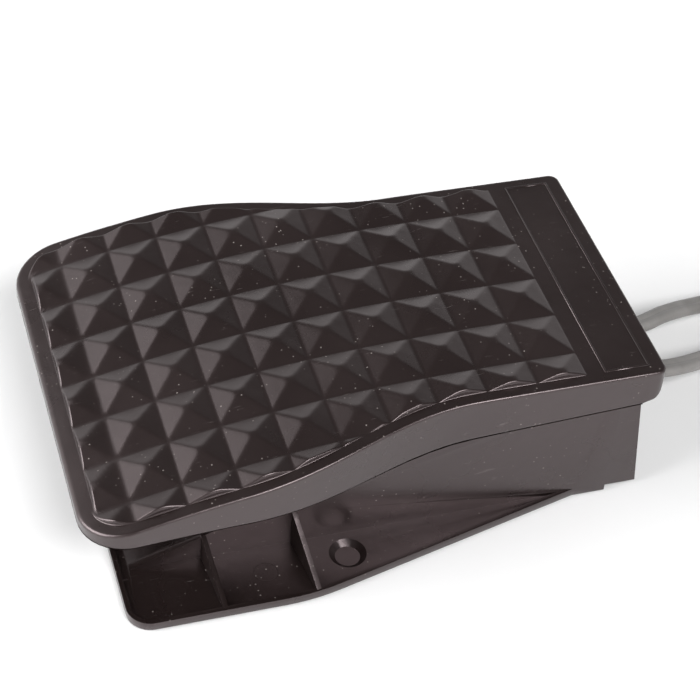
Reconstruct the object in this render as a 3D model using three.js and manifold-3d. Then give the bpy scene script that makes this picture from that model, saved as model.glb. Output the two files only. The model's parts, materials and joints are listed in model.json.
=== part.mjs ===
// Foot speed controller for a sewing machine: a hinged treadle over a flanged base tray,
// with the speed control inside and two flat twin cords out of the back.
// Millimetres. X is across, +Y is towards the heel and the cords, +Z is up, the floor is z = 0.
import * as THREE from 'three';
import { mergeVertices } from 'three/addons/utils/BufferGeometryUtils.js';
import Module from 'manifold-3d';

const wasm = await Module();
wasm.setup();

// ---- driving dimensions ----
const GAP = 0.3;
const SOLE = 20;
const SKY = 50;
const ACROSS = 60;

const TREADLE = {
  front: -72.6, rear: 72.6, wideHalf: 51.5, narrowHalf: 39.1, taperStart: -35.2, taperEnd: 23.8,
  cornerRadius: 12, rearRadius: 2.6, plate: 2.4, skirt: 1.5, rearSkirt: 1.8, heelRadius: 5.2,
};
const CREST = { z: 42.3, y: 36.8, fall: 13.9, span: 109.4, power: 2.34 };
const SKIRT_EDGE = [[-74, 25.4], [-40, 27.9], [0, 28.4], [30, 30.2], [76, 32.7]];

const TREAD = {
  pitchX: 13.96, pitchY: 12.7, height: 2.0, flat: 0.12, rear: 52.4, front: -68.6, inset: 3.1,
  rows: 7, columns: 11,
};
const LABEL = { half: 35.8, from: 57.2, to: 68.4, width: 0.6, height: 0.3 };

const PLATE = {
  bottom: 0.8, top: 2.4, front: -63.4, half: 55.1, cornerRadius: 6, taperFrom: -18.6, taperTo: 54, rear: 62.8,
};
const ROOT = PLATE.top - 0.4;
const RIM = { width: 1.2, height: 0.7 };
const WALL = {
  outer: 37.2, thickness: 2, wedgeY: -60.9, rearFoot: 71.3, rearTop: 67.6, top: 36.6, heelStep: 0.5,
  heelFloor: 3.6,
};
const WALL_TOP = [[8, 31.2], [48, 37.8], [66.6, 38.2]];
const GUSSETS = [{ rimY: -40.4, wallY: -42.0, height: 7.6 }, { rimY: -17.4, wallY: -19.6, height: 10.6 }];
const SCREW_RECESS = { x: 44, y: -7.4, radius: 3.1, mouth: 4.65, depth: 1.2 };

const HINGE = {
  y: 61, z: 35, pinRadius: 2, pinHalf: 36.9, barrelRadius: 4.2, barrelFrom: 28, barrelTo: 33.6,
};
const FOOT = { radius: 5, height: 1.1, places: [[-45.2, -50.6], [45.2, -50.6], [-28, 54], [28, 54]] };
const BUMPER = { x: 11, y: -55, radius: 4.4, height: 12 };
const SPRING = {
  y: -42, radius: 5.5, wire: 0.65, turns: 8, postRadius: 3.6, postHeight: 8, seatRadius: 7, seatZ: 31.4,
};
const LIMITER = {
  x: 20, width: 8, y: -45.2, footRear: -40.2, footTop: 17.6, tabZ: 26, tabFront: -54.4, sheet: 1.2,
  screwY: -50.4,
};
const HOOK = { half: 5, tip: -42.3, post: -36, rear: -34, ledge: 17.9, top: 19.7 };

const COVER = { half: 26, front: -32, rear: 38, bottom: 5, top: 22, wall: 1.5, port: 5.3 };
const EAR = { x: 30, front: -27, rear: 33, radius: 3.2, bottom: 8.3, top: 10.3 };
const PLUNGER = { y: -10, half: 5, top: 34, bottom: 17, crown: 9 };
const PUSHER = { half: 5, bottom: 34.3, top: 37 };
const BOARD = { half: 21, front: -28, rear: 33, bottom: 6, thickness: 1.6, screwX: 17, screwY: [-24, 29.5] };

const CORD = { width: 5.4, height: 3.2, exitX: 8.5, exitZ: 11.4 };
const TAIL = { from: 49.3, to: 65.4 };
const RELIEF = {
  inner: 65.8, outer: 86, neck: 4.2, collar: 5.6, collarY: 71.6, root: 4.9, tip: 3.6, hole: 4.6,
};
const COIL = {
  radius: 30, band: 8.6, bottom: 1.0, height: 13.2, x: 15, machineY: 162, mainsY: 248, joinX: -20.9,
};
const PLUG_LEAD = { from: 20.6, to: 24.4, plug: 25, drop: 0.6, plugZ: 9.1, connectorZ: 6.8 };

const BLADE = { x: 6.35, thickness: 1.5, width: 6.3, root: 25, length: 24 };

// ---- materials ----
function finish(color, roughness, metalness = 0) {
  return new THREE.MeshStandardMaterial({ color, roughness, metalness });
}
const SHELL = finish(0x2a2424, 0.42);
const RUBBER = finish(0x161616, 0.85);
const STEEL = finish(0xb4b7ba, 0.35, 1);
const BRASS = finish(0xc2a14d, 0.3, 1);
const NYLON = finish(0xd8d4c8, 0.5);
const COVER_PLASTIC = finish(0x3a3a3c, 0.6);
const LAMINATE = finish(0x2f5a34, 0.55);
const ALUMINIUM = finish(0xa9abad, 0.4, 1);
const RESIN = finish(0x1b1b1d, 0.5);
const FILM = finish(0xb0702a, 0.4);
const CORD_GREY = finish(0x8c8c88, 0.5);

// ---- solids ----
function toSolid(geometry) {
  geometry.deleteAttribute('normal');
  geometry.deleteAttribute('uv');
  const merged = mergeVertices(geometry, 1e-4);
  return new wasm.Manifold(new wasm.Mesh({
    numProp: 3,
    vertProperties: new Float32Array(merged.attributes.position.array),
    triVerts: new Uint32Array(merged.index.array),
  }));
}

function toGeometry(solid) {
  const mesh = solid.getMesh();
  const geometry = new THREE.BufferGeometry();
  geometry.setAttribute('position', new THREE.BufferAttribute(new Float32Array(mesh.vertProperties), 3));
  geometry.setIndex(new THREE.BufferAttribute(new Uint32Array(mesh.triVerts), 1));
  geometry.computeVertexNormals();
  return geometry;
}

function join(...solids) {
  return solids.reduce((whole, solid) => whole.add(solid));
}

function box(x0, x1, y0, y1, z0, z1) {
  const geometry = new THREE.BoxGeometry(x1 - x0, y1 - y0, z1 - z0);
  geometry.translate((x0 + x1) / 2, (y0 + y1) / 2, (z0 + z1) / 2);
  return toSolid(geometry);
}

// An upright cylinder or cone from z0 to z1.
function upright(x, y, radius, z0, z1, topRadius = radius, sides = 16) {
  const geometry = new THREE.CylinderGeometry(topRadius, radius, z1 - z0, sides);
  geometry.rotateX(Math.PI / 2);
  geometry.translate(x, y, (z0 + z1) / 2);
  return toSolid(geometry);
}

// A cylinder that lies along X.
function crosswise(y, z, radius, x0, x1, sides = 16) {
  const geometry = new THREE.CylinderGeometry(radius, radius, x1 - x0, sides);
  geometry.rotateZ(Math.PI / 2);
  geometry.translate((x0 + x1) / 2, y, z);
  return toSolid(geometry);
}

// A cylinder or cone that lies along Y.
function lengthwise(x, z, radius, y0, y1, farRadius = radius, sides = 16) {
  const geometry = new THREE.CylinderGeometry(farRadius, radius, y1 - y0, sides);
  geometry.translate(x, (y0 + y1) / 2, z);
  return toSolid(geometry);
}

// A plan shape in X and Y, raised from z0 to z1.
function prism(shape, z0, z1) {
  const depth = z1 - z0;
  const geometry = new THREE.ExtrudeGeometry(shape, { depth, bevelEnabled: false, curveSegments: 5 });
  geometry.translate(0, 0, z0);
  return toSolid(geometry);
}

// A side shape in Y and Z, run across from x0 to x1.
function slab(shape, x0, x1) {
  const depth = x1 - x0;
  const geometry = new THREE.ExtrudeGeometry(shape, { depth, bevelEnabled: false, curveSegments: 6 });
  const across = new THREE.Matrix4().makeBasis(
    new THREE.Vector3(0, 1, 0), new THREE.Vector3(0, 0, 1), new THREE.Vector3(1, 0, 0));
  geometry.applyMatrix4(across);
  geometry.translate(x0, 0, 0);
  return toSolid(geometry);
}

function polygon(points) {
  return new THREE.Shape(points.map(([u, v]) => new THREE.Vector2(u, v)));
}

// ---- assembly ----
const pedal = new THREE.Group();

function place(name, solid, material, x = 0, y = 0, z = 0) {
  const mesh = new THREE.Mesh(solid instanceof THREE.BufferGeometry ? solid : toGeometry(solid), material);
  mesh.name = name;
  mesh.position.set(x, y, z);
  pedal.add(mesh);
}

// ---- treadle ----
function crestHeight(y) {
  const ahead = Math.max(CREST.y - y, 0) / CREST.span;
  return CREST.z - CREST.fall * ahead ** CREST.power;
}

// Plan outline of the treadle, drawn in by an inset, with its own front and rear limits.
function treadleOutline(inset, front = TREADLE.front + inset, rear = TREADLE.rear - inset) {
  const wide = TREADLE.wideHalf - inset;
  const narrow = TREADLE.narrowHalf - inset;
  const corner = TREADLE.cornerRadius - inset;
  const heel = Math.max(TREADLE.rearRadius - inset, 0.4);
  const steps = 10;
  const side = [];
  for (let i = 0; i <= steps; i += 1) {
    const t = i / steps;
    const blend = (1 + Math.cos(Math.PI * t)) / 2;
    const y = TREADLE.taperStart + t * (TREADLE.taperEnd - TREADLE.taperStart);
    side.push([narrow + (wide - narrow) * blend, y]);
  }
  const shape = new THREE.Shape();
  shape.moveTo(-wide + corner, front);
  shape.absarc(wide - corner, front + corner, corner, -Math.PI / 2, 0, false);
  side.forEach(([x, y]) => shape.lineTo(x, y));
  shape.absarc(narrow - heel, rear - heel, heel, 0, Math.PI / 2, false);
  shape.absarc(-narrow + heel, rear - heel, heel, Math.PI / 2, Math.PI, false);
  side.reverse().forEach(([x, y]) => shape.lineTo(-x, y));
  shape.absarc(-wide + corner, front + corner, corner, Math.PI, 1.5 * Math.PI, false);
  return shape;
}

function crestPoints(from, to, drop) {
  const points = [];
  const steps = 16;
  for (let i = 0; i <= steps; i += 1) {
    const y = from + (i / steps) * (to - from);
    points.push([y, crestHeight(y) - drop]);
  }
  return points;
}

// Side view of the treadle: arched top, rounded heel, and the skirt's rising lower edge.
function treadleSideShape() {
  const edge = new THREE.SplineCurve(SKIRT_EDGE.map(([y, z]) => new THREE.Vector2(y, z)));
  const lower = edge.getPoints(12).filter((p) => p.x < TREADLE.rear - TREADLE.heelRadius);
  const heelZ = lower[lower.length - 1].y + TREADLE.heelRadius + 0.2;
  const shape = new THREE.Shape();
  shape.moveTo(lower[0].x, lower[0].y);
  crestPoints(SKIRT_EDGE[0][0], TREADLE.rear, 0).forEach(([y, z]) => shape.lineTo(y, z));
  shape.absarc(TREADLE.rear - TREADLE.heelRadius, heelZ, TREADLE.heelRadius, 0, -Math.PI / 2, true);
  lower.reverse().forEach((p) => shape.lineTo(p.x, p.y));
  return shape;
}

function treadleHollow() {
  const points = crestPoints(TREADLE.front - 2, TREADLE.rear + 2, TREADLE.plate);
  const under = slab(polygon([...points, [TREADLE.rear + 2, 10], [TREADLE.front - 2, 10]]), -ACROSS, ACROSS);
  const plan = treadleOutline(TREADLE.skirt, TREADLE.front + TREADLE.skirt, TREADLE.rear - TREADLE.rearSkirt);
  return prism(plan, 12, CREST.z).intersect(under);
}

// One pyramid of the tread: a square cone with a small flat top, its foot sunk into the plate.
function pyramid(x, y) {
  const sunk = 0.5;
  const rise = TREAD.height + sunk;
  const foot = Math.SQRT1_2 * (1 + sunk / TREAD.height);
  const geometry = new THREE.CylinderGeometry(TREAD.flat * Math.SQRT1_2, foot, rise, 4);
  geometry.rotateY(Math.PI / 4);
  geometry.rotateX(Math.PI / 2);
  geometry.scale(TREAD.pitchX, TREAD.pitchY, 1);
  geometry.translate(0, 0, rise / 2 - sunk);
  geometry.rotateX((crestHeight(y + 1) - crestHeight(y - 1)) / 2);
  geometry.translate(x, y, crestHeight(y));
  return toSolid(geometry);
}

function treadPyramids() {
  const pyramids = [];
  let y = TREAD.rear;
  for (let column = 0; column < TREAD.columns; column += 1) {
    const slope = (crestHeight(y) - crestHeight(y - TREAD.pitchY)) / TREAD.pitchY;
    const step = TREAD.pitchY / Math.hypot(1, slope);
    for (let row = 0; row < TREAD.rows + 1; row += 1) {
      pyramids.push(pyramid((row - TREAD.rows / 2) * TREAD.pitchX, y - step / 2));
    }
    y -= step;
  }
  const field = prism(treadleOutline(TREAD.inset, TREAD.front, TREAD.rear), SOLE, SKY);
  return join(...pyramids).intersect(field);
}

function labelFrame() {
  const outer = LABEL.half;
  const inner = outer - LABEL.width;
  const z0 = CREST.z - 0.4;
  const z1 = CREST.z + LABEL.height;
  return box(-outer, outer, LABEL.from, LABEL.to, z0, z1)
    .subtract(box(-inner, inner, LABEL.from + LABEL.width, LABEL.to - LABEL.width, z0 - 1, z1 + 1));
}

// Eye for the hinge pin, hung from the plate.
function hingeBarrel(side) {
  const { y, z, barrelRadius, barrelFrom, barrelTo } = HINGE;
  const x0 = Math.min(side * barrelFrom, side * barrelTo);
  const x1 = Math.max(side * barrelFrom, side * barrelTo);
  const web = box(x0, x1, y - barrelRadius, y + barrelRadius, z, CREST.z - 1);
  return web.add(crosswise(y, z, barrelRadius, x0, x1));
}

function treadleCover() {
  const plan = prism(treadleOutline(0), SOLE, SKY);
  const shell = plan.intersect(slab(treadleSideShape(), -ACROSS, ACROSS)).subtract(treadleHollow());
  const parts = [shell, treadPyramids(), labelFrame()];
  for (const side of [-1, 1]) {
    parts.push(hingeBarrel(side));
    const bossZ = LIMITER.tabZ + LIMITER.sheet + GAP;
    parts.push(upright(side * LIMITER.x, LIMITER.screwY, 3.2, bossZ, crestHeight(LIMITER.screwY) - 1));
  }
  const seatTop = crestHeight(SPRING.y - SPRING.seatRadius) - 1;
  parts.push(upright(0, SPRING.y, SPRING.seatRadius, SPRING.seatZ, seatTop));
  parts.push(upright(0, SPRING.y, SPRING.postRadius, SPRING.seatZ - 3.4, SPRING.seatZ + 1));
  const pinHole = crosswise(HINGE.y, HINGE.z, HINGE.pinRadius + GAP, -HINGE.pinHalf, HINGE.pinHalf);
  let cover = join(...parts).subtract(pinHole);
  for (const side of [-1, 1]) {
    cover = cover.subtract(upright(side * LIMITER.x, LIMITER.screwY, 1.4, SOLE, LIMITER.tabZ + 6.4));
  }
  return cover;
}

// Steel strap whose foot catches under the base tray's hook and sets the treadle's rest height.
function travelLimiter() {
  const { y, footRear, footTop, tabZ, tabFront, sheet, width, screwY } = LIMITER;
  const side = polygon([
    [y, footTop - sheet], [footRear, footTop - sheet], [footRear, footTop], [y + sheet, footTop],
    [y + sheet, tabZ + sheet], [tabFront, tabZ + sheet], [tabFront, tabZ], [y, tabZ],
  ]);
  return slab(side, -width / 2, width / 2).subtract(upright(0, screwY, 1.7, tabZ - 1, tabZ + 2));
}

// ---- base tray ----
function plateOutline(inset) {
  const half = PLATE.half - inset;
  const front = PLATE.front + inset;
  const radius = PLATE.cornerRadius - inset;
  const waist = WALL.outer - inset;
  const slope = (half - waist) / (PLATE.taperTo - PLATE.taperFrom);
  const shape = new THREE.Shape();
  const run = 7;
  shape.moveTo(-half + radius, front);
  shape.absarc(half - radius, front + radius, radius, -Math.PI / 2, 0, false);
  shape.lineTo(half, PLATE.taperFrom - run);
  shape.quadraticCurveTo(half, PLATE.taperFrom, half - slope * run, PLATE.taperFrom + run);
  shape.lineTo(waist, PLATE.taperTo);
  shape.lineTo(waist, PLATE.rear - inset);
  shape.lineTo(-waist, PLATE.rear - inset);
  shape.lineTo(-waist, PLATE.taperTo);
  shape.lineTo(-half + slope * run, PLATE.taperFrom + run);
  shape.quadraticCurveTo(-half, PLATE.taperFrom, -half, PLATE.taperFrom - run);
  shape.lineTo(-half, front + radius);
  shape.absarc(-half + radius, front + radius, radius, Math.PI, 1.5 * Math.PI, false);
  return shape;
}

function flange() {
  const floor = prism(plateOutline(0), PLATE.bottom, PLATE.top);
  const rimTop = PLATE.top + RIM.height;
  const inside = prism(plateOutline(RIM.width), PLATE.top - 1, rimTop + 1);
  const rim = prism(plateOutline(0), PLATE.top - 0.2, rimTop).subtract(inside);
  return floor.add(rim);
}

function walls() {
  const side = polygon([[WALL.wedgeY, ROOT], ...WALL_TOP, [WALL.rearFoot, ROOT]]);
  const left = slab(side, -WALL.outer, WALL.thickness - WALL.outer);
  const right = slab(side, WALL.outer - WALL.thickness, WALL.outer);
  const back = polygon([
    [WALL.rearFoot, ROOT], [WALL.rearTop, WALL.top],
    [WALL.rearTop - WALL.thickness, WALL.top], [WALL.rearFoot - WALL.thickness, ROOT],
  ]);
  const rear = slab(back, -WALL.outer, WALL.outer);
  const heelFloor = box(-WALL.outer, WALL.outer, PLATE.rear - 2, WALL.rearFoot - 1, ROOT, WALL.heelFloor);
  let shell = join(left, right, rear, heelFloor);
  for (const s of [-1, 1]) {
    const x0 = Math.min(s * (WALL.outer - WALL.heelStep), s * (WALL.outer + 1));
    const x1 = Math.max(s * (WALL.outer - WALL.heelStep), s * (WALL.outer + 1));
    shell = shell.subtract(box(x0, x1, PLATE.rear, WALL.rearFoot + 1, 0, WALL.top + 4));
  }
  return shell;
}

// Thin triangular gusset from the side wall down to the rim, turned a little in plan.
function gusset({ rimY, wallY, height }, side) {
  const inner = WALL.outer - 0.8;
  const outer = PLATE.half - 1;
  const thickness = 1.2;
  const shape = polygon([
    [0, ROOT], [outer - inner, ROOT], [outer - inner, PLATE.top + RIM.height],
    [0.8, PLATE.top + height], [0, PLATE.top + height],
  ]);
  const geometry = new THREE.ExtrudeGeometry(shape, { depth: thickness, bevelEnabled: false });
  geometry.rotateX(Math.PI / 2);
  geometry.translate(0, thickness / 2, 0);
  if (side < 0) {
    geometry.rotateZ(Math.PI);
  }
  geometry.rotateZ(side * Math.atan2(rimY - wallY, outer - inner));
  geometry.translate(side * inner, wallY, 0);
  return toSolid(geometry);
}

// Cone-shaped screw seat in the flange; a thin web closes its foot until the pedal is screwed down.
function screwRecess(side) {
  const { x, y, radius, mouth, depth } = SCREW_RECESS;
  const above = 1;
  const flare = mouth + (above * (mouth - radius)) / depth;
  return upright(side * x, y, radius, PLATE.top - depth, PLATE.top + above, flare, 32);
}

// Hook that the travel limiter pulls up against.
function limiterHook(side) {
  const { half, tip, post, rear, ledge, top } = HOOK;
  const x = side * LIMITER.x;
  return box(x - half, x + half, post, rear, ROOT, top).add(box(x - half, x + half, tip, rear, ledge, top));
}

function corners(halfX, ys) {
  return ys.flatMap((y) => [-1, 1].map((side) => [side * halfX, y]));
}

const COVER_EARS = corners(EAR.x, [EAR.front, EAR.rear]);
const BOARD_SCREWS = [[-BOARD.screwX, BOARD.screwY[0]], [BOARD.screwX, BOARD.screwY[1]]];
const CLAMP_SCREWS = [[-15, 57.5], [15, 57.5]];

// What stands on the tray's floor: spring post, hooks, screw posts, cord rest and terminal plinth.
function trayFittings() {
  const parts = [upright(0, SPRING.y, SPRING.postRadius, ROOT, PLATE.top + SPRING.postHeight)];
  COVER_EARS.forEach(([x, y]) => parts.push(upright(x, y, EAR.radius, ROOT, EAR.bottom - GAP)));
  corners(BOARD.screwX, BOARD.screwY).forEach(([x, y]) => {
    parts.push(upright(x, y, 2.8, ROOT, BOARD.bottom - GAP));
  });
  CLAMP_SCREWS.forEach(([x, y]) => parts.push(upright(x, y, 3, ROOT, 12)));
  parts.push(box(-12.5, 12.5, 55.5, 59.5, ROOT, CORD.exitZ - CORD.height / 2 - GAP));
  parts.push(box(-11, 11, 42, 48, ROOT, 5.7));
  return join(...parts, limiterHook(-1), limiterHook(1));
}

function trayHoles() {
  const holes = [crosswise(HINGE.y, HINGE.z, HINGE.pinRadius + GAP, -ACROSS, ACROSS)];
  for (const side of [-1, 1]) {
    holes.push(screwRecess(side));
    holes.push(lengthwise(side * CORD.exitX, CORD.exitZ, RELIEF.hole, 60.5, 76));
  }
  [...COVER_EARS, ...BOARD_SCREWS].forEach(([x, y]) => holes.push(upright(x, y, 1.3, 3.2, 10)));
  CLAMP_SCREWS.forEach(([x, y]) => holes.push(upright(x, y, 1.3, 4.2, 14)));
  FOOT.places.forEach(([x, y]) => holes.push(upright(x, y, FOOT.radius + GAP, 0, FOOT.height + GAP)));
  return join(...holes);
}

function baseTray() {
  const gussets = GUSSETS.flatMap((spec) => [gusset(spec, -1), gusset(spec, 1)]);
  return join(flange(), walls(), ...gussets, trayFittings()).subtract(trayHoles());
}

// ---- turned and fastened pieces ----
function lathe(profile, sides = 20) {
  const geometry = new THREE.LatheGeometry(profile.map(([r, z]) => new THREE.Vector2(r, z)), sides);
  geometry.rotateX(Math.PI / 2);
  return toSolid(geometry);
}

// Pan-head screw: the underside of its head is at z = 0, its shank points down.
function screw(headRadius, shankRadius, length) {
  const body = lathe([
    [0, -length], [shankRadius * 0.6, -length], [shankRadius, -length + 1], [shankRadius, 0],
    [headRadius, 0], [headRadius, 0.8], [headRadius * 0.7, 1.5], [0, 1.5],
  ], 12);
  return body.subtract(box(-0.35, 0.35, -headRadius * 1.1, headRadius * 1.1, 1.0, 3));
}

function rubberFoot() {
  const { radius, height } = FOOT;
  return lathe([[0, 0], [radius - 0.4, 0], [radius, 0.4], [radius, height], [0, height]]);
}

function stopBumper() {
  const { radius, height } = BUMPER;
  return lathe([[0, 0], [radius, 0], [radius * 0.86, height - 2], [radius * 0.6, height - 0.5], [0, height]]);
}

function returnSpring() {
  const bottom = PLATE.top + GAP + SPRING.wire;
  const top = SPRING.seatZ - GAP - SPRING.wire;
  const steps = SPRING.turns * 9;
  const points = [];
  for (let i = 0; i <= steps; i += 1) {
    const angle = (i / steps) * SPRING.turns * 2 * Math.PI;
    const x = SPRING.radius * Math.cos(angle);
    const y = SPRING.y + SPRING.radius * Math.sin(angle);
    points.push(new THREE.Vector3(x, y, bottom + (i / steps) * (top - bottom)));
  }
  const wire = polygon([0, 1, 2, 3, 4, 5].map((k) => {
    const angle = (k / 3) * Math.PI;
    return [SPRING.wire * Math.cos(angle), SPRING.wire * Math.sin(angle)];
  }));
  return new THREE.ExtrudeGeometry(wire, {
    steps, bevelEnabled: false, extrudePath: new THREE.CatmullRomCurve3(points),
  });
}

function hingeClip() {
  return crosswise(0, 0, 4, -0.3, 0.3).subtract(crosswise(0, 0, HINGE.pinRadius + GAP, -1, 1));
}

// ---- speed control under the inner cover ----
function innerCover() {
  const { half, front, rear, bottom, top, wall, port } = COVER;
  let cover = box(-half, half, front, rear, bottom, top);
  COVER_EARS.forEach(([x, y]) => {
    const edge = Math.sign(x) * half;
    const x0 = Math.min(x, edge);
    const x1 = Math.max(x, edge);
    const arm = box(x0, x1, y - EAR.radius, y + EAR.radius, EAR.bottom, EAR.top);
    cover = join(cover, arm, upright(x, y, EAR.radius, EAR.bottom, EAR.top));
  });
  cover = cover.subtract(box(-half + wall, half - wall, front + wall, rear - wall, bottom - 1, top - wall));
  cover = cover.subtract(box(-port, port, PLUNGER.y - port, PLUNGER.y + port, top - 2 * wall, top + 1));
  COVER_EARS.forEach(([x, y]) => { cover = cover.subtract(upright(x, y, 1.7, bottom, 12)); });
  return cover;
}

function plunger() {
  const { y, half, top, bottom, crown } = PLUNGER;
  const side = new THREE.Shape();
  const reach = Math.asin(half / crown);
  side.moveTo(y - half, bottom);
  side.lineTo(y + half, bottom);
  side.absarc(y, top - crown, crown, Math.PI / 2 - reach, Math.PI / 2 + reach, false);
  return slab(side, -half, half);
}

// Pad under the treadle that presses on the plunger's crown.
function pusherPad() {
  const { half, bottom, top } = PUSHER;
  return box(-half, half, PLUNGER.y - half, PLUNGER.y + half, bottom, top);
}

function potentiometer() {
  const x = PLUNGER.half + 2;
  return box(x, x + 6, -17, -3, BOARD.bottom + BOARD.thickness + GAP, 20);
}

function circuitBoard() {
  const { half, front, rear, bottom, thickness, screwX, screwY } = BOARD;
  const top = bottom + thickness;
  const holes = corners(screwX, screwY).map(([x, y]) => upright(x, y, 1.6, bottom - 1, top + 1));
  return box(-half, half, front, rear, bottom, top).subtract(join(...holes));
}

function heatSink() {
  const z = BOARD.bottom + BOARD.thickness + GAP;
  const fins = [0, 1, 2, 3, 4].map((i) => box(-20.5, -16, 4 + i * 4.6, 5.4 + i * 4.6, z, z + 11));
  return join(box(-16.4, -14.6, 4, 23.8, z, z + 11), ...fins);
}

function triac() {
  const z = BOARD.bottom + BOARD.thickness + 3;
  return join(box(-14.3, -13, 8.9, 18.9, z, z + 9), box(-13.2, -10, 8.9, 18.9, z, z + 6.2));
}

function terminalBlock() {
  let block = box(-12, 12, 41, 49, 6, 16);
  [-8.5, -2.9, 2.9, 8.5].forEach((x) => {
    block = block.subtract(upright(x, 45, 1.8, 12, 18)).subtract(lengthwise(x, 9.5, 1.3, 47, 50));
  });
  return block;
}

function cordClamp() {
  const z = CORD.exitZ + CORD.height / 2 + GAP;
  let bar = box(-18.5, 18.5, 55.5, 59.5, z, z + 1.6);
  CLAMP_SCREWS.forEach(([x, y]) => { bar = bar.subtract(upright(x, y, 1.7, 5, 20)); });
  return bar;
}

// ---- cords ----
// Eight-sided section of the flat twin flex; u is its width, v its thickness.
function flexSection() {
  const u = CORD.width / 2;
  const v = CORD.height / 2;
  const corner = 0.8;
  return polygon([
    [-u + corner, -v], [u - corner, -v], [u, -v + corner], [u, v - corner],
    [u - corner, v], [-u + corner, v], [-u, v - corner], [-u, -v + corner],
  ]);
}

// The section swept along a route, kept level by building it from frames with +Z as the up direction.
function flex(route, steps) {
  const points = route.map(([x, y, z]) => new THREE.Vector3(x, y, z));
  const path = new THREE.CatmullRomCurve3(points, false, 'centripetal');
  const up = new THREE.Vector3(0, 0, 1);
  path.computeFrenetFrames = (count) => {
    const frames = { tangents: [], normals: [], binormals: [] };
    for (let i = 0; i <= count; i += 1) {
      const tangent = path.getTangentAt(i / count);
      const across = new THREE.Vector3().crossVectors(tangent, up).normalize();
      frames.tangents.push(tangent);
      frames.normals.push(across);
      frames.binormals.push(new THREE.Vector3().crossVectors(tangent, across).normalize());
    }
    return frames;
  };
  return new THREE.ExtrudeGeometry(flexSection(), { steps, bevelEnabled: false, extrudePath: path });
}

function cordTail() {
  return box(-CORD.width / 2, CORD.width / 2, TAIL.from, TAIL.to, -CORD.height / 2, CORD.height / 2);
}

function strainRelief() {
  const { inner, outer, neck, collar, collarY, root, tip } = RELIEF;
  return join(
    lengthwise(0, 0, collar, inner, inner + 1.4),
    lengthwise(0, 0, neck, inner, collarY + 1),
    lengthwise(0, 0, collar, collarY, collarY + 1.6),
    lengthwise(0, 0, root, collarY + 1, outer, tip));
}

function coilRing() {
  const { radius, band, height } = COIL;
  const soft = 2;
  return lathe([
    [radius - band + soft, 0], [radius + band - soft, 0], [radius + band, soft],
    [radius + band, height - soft], [radius + band - soft, height], [radius - band + soft, height],
    [radius - band, height - soft], [radius - band, soft], [radius - band + soft, 0],
  ], 36);
}

// A strap round the coil's turns on one side; it passes between the coil and the floor.
function coilTie() {
  const { radius, band, bottom, height } = COIL;
  const strap = 0.6;
  const reach = 3;
  const clear = 0.35;
  const x0 = radius - band - 2 * clear;
  const x1 = radius + band + clear;
  const z0 = bottom - clear;
  const z1 = bottom + height + clear;
  return box(x0 - strap, x1 + strap, -reach, reach, z0 - strap, z1 + strap)
    .subtract(box(x0, x1, -reach - 1, reach + 1, z0, z1));
}

// Two-pin plug built along +Z from its cord entry, with a pocket for each blade.
function plugBody() {
  const grip = lathe([[0, 0], [4.2, 0], [5, 3], [5.6, 12], [6.4, 20], [0, 20]], 16);
  const half = BLADE.thickness / 2 + GAP;
  const reach = BLADE.width / 2 + GAP;
  const pocket = box(-half, half, -reach, reach, BLADE.root - GAP, 34);
  const pockets = pocket.translate([BLADE.x, 0, 0]).add(pocket.translate([-BLADE.x, 0, 0]));
  return grip.add(box(-12.5, 12.5, -8.8, 8.8, 17, 32)).subtract(pockets);
}

function plugBlade(side) {
  const half = BLADE.thickness / 2;
  const x = side * BLADE.x;
  return box(x - half, x + half, -BLADE.width / 2, BLADE.width / 2, BLADE.root, BLADE.root + BLADE.length);
}

// Three-hole connector for the machine, built along +Z from its cord entry.
function machineConnector() {
  const grip = lathe([[0, 0], [4, 0], [4.8, 3], [5.4, 10], [0, 10]], 16);
  let body = grip.add(box(-11, 11, -6.5, 6.5, 8, 30));
  [-6, 0, 6].forEach((x) => {
    body = body.subtract(upright(x, 0, 1.6, 20, 32));
  });
  return body;
}

// Lays a piece built along +Z down so that it points along +Y.
function layDown(solid) {
  const geometry = toGeometry(solid);
  geometry.rotateX(-Math.PI / 2);
  return geometry;
}

const MACHINE_ROUTE = [
  [8.5, 86.8, 11.4], [8.4, 88.9, 11.1], [8.2, 91, 10.6], [7.4, 94.5, 9.8], [6.3, 98, 8.9], [5, 101.5, 8.0],
  [3.6, 105, 7.0], [2.2, 109, 5.9], [0.5, 113.4, 4.8], [-2, 118, 3.7], [-3.7, 120.5, 3.2], [-5.4, 122.8, 2.8],
  [-7.1, 124.8, 2.5], [-8.6, 126.6, 2.3], [-10.6, 129.2, 2.2],
];
const MAINS_ROUTE = [
  [-8.5, 86.8, 11.4], [-9.3, 90.5, 10.8], [-11, 94.2, 10.0], [-13, 98, 9.2], [-16, 105.5, 7.4],
  [-18.6, 114, 5.4], [-21.4, 123, 3.5], [-25.2, 134, 2.3], [-29.6, 147, 2.0], [-33.6, 161, 2.0],
  [-36.8, 176, 2.0], [-38.6, 190, 2.0], [-38.8, 202, 2.0], [-37, 213, 2.0], [-32.8, 224, 2.0],
  [-28.6, 231.6, 2.1], [-26.2, 235.8, 2.2],
];

// ---- the object ----
place('base_tray', baseTray(), SHELL);
FOOT.places.forEach(([x, y], i) => place(`rubber_foot_${i + 1}`, rubberFoot(), RUBBER, x, y, 0));
place('stop_bumper_left', stopBumper(), RUBBER, -BUMPER.x, BUMPER.y, PLATE.top + GAP);
place('stop_bumper_right', stopBumper(), RUBBER, BUMPER.x, BUMPER.y, PLATE.top + GAP);
place('return_spring', returnSpring(), STEEL);
place('hinge_pin', crosswise(HINGE.y, HINGE.z, HINGE.pinRadius, -HINGE.pinHalf, HINGE.pinHalf), STEEL);
place('hinge_clip_left', hingeClip(), STEEL, -34.4, HINGE.y, HINGE.z);
place('hinge_clip_right', hingeClip(), STEEL, 34.4, HINGE.y, HINGE.z);

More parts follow.
